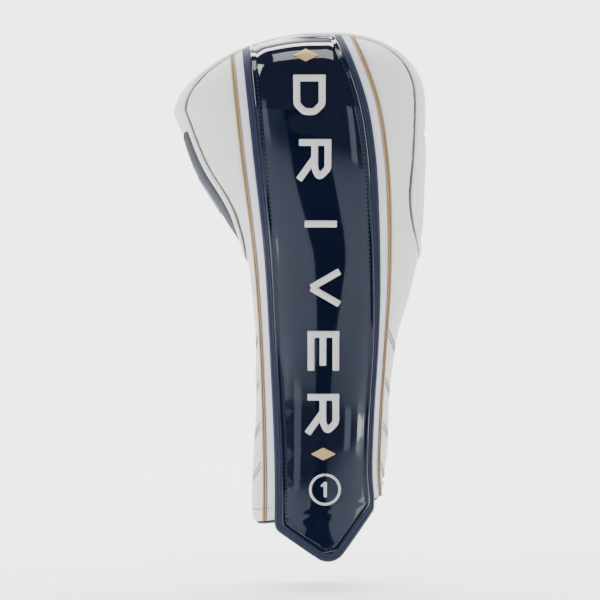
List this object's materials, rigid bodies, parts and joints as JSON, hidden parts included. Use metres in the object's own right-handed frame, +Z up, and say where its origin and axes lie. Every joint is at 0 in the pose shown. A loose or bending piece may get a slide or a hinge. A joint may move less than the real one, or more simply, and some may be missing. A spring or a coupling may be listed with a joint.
{
  "type": "driver head cover",
  "caption": "Padded head cover for a golf driver: a rounded pocket for the club head, a long neck round the shaft with a stretching back, and a pointed tongue below the mouth.",
  "frame": {"origin": "middle of the mouth's hem plane, on the shaft's line", "axes": "+Z up the shaft into the head, -Y out of the front with the gloss strip, +X towards the side over the club face"},
  "size_m": [0.1579, 0.1317, 0.3287],
  "materials": {
    "patent": "navy patent leather, high gloss",
    "binding": "navy binding, satin",
    "twill": "white twill tape",
    "gold": "gold ribbed cord and thread",
    "leather": "white grained laminated leather",
    "piping": "white piping, satin",
    "gusset": "dark navy grained laminated leather",
    "foam": "padding between skin and lining",
    "plush": "dark plush lining",
    "knit": "dark rib knit",
    "elastic": "woven elastic",
    "thread": "white satin stitch",
    "label": "blank woven label"
  },
  "bodies": {
    "cover": {"patent_panel": "patent", "patent_binding_left": "binding", "patent_binding_right": "binding", "stripe_band": "twill", "gold_cord_left": "gold", "gold_cord_right": "gold", "front_panel_left": "leather", "front_panel_right": "leather", "foam_front_left": "foam", "foam_front_right": "foam", "foam_strip": "foam", "gusset_crown": "gusset", "gusset_face": "leather", "gusset_top": "leather", "back_panel": "leather", "foam_gusset_crown": "foam", "foam_gusset_face": "foam", "foam_gusset_top": "foam", "foam_back_panel": "foam", "piping_front": "piping", "piping_back": "piping", "lining_head": "plush", "lining_front": "plush", "mouth_binding_front": "binding", "puff_letters": "thread", "gold_lozenges": "gold", "ring_badge": "thread", "side_emblem": "thread"},
    "neck_back": {"neck_back_knit": "knit", "lining_neck_back": "plush", "neck_elastic_1": "elastic", "neck_elastic_2": "elastic", "neck_elastic_3": "elastic", "mouth_binding_back": "binding", "inner_label": "label"},
    "tongue": {"tongue_patent": "patent", "tongue_binding": "binding", "tongue_backing": "gusset"}
  },
  "joints": [
    {"name": "neck_stretch", "type": "hinge", "parent": "cover", "child": "neck_back", "pos_m": [0, 0.048, 0.156], "axis": [1, 0, 0], "range_deg": [0, 15], "stiffness_Nm_per_rad": 1.2},
    {"name": "tongue_flex", "type": "hinge", "parent": "cover", "child": "tongue", "pos_m": [0, -0.0325, 0], "axis": [-0.9806, 0, -0.1961], "range_deg": [0, 50], "stiffness_Nm_per_rad": 0.15}
  ]
}
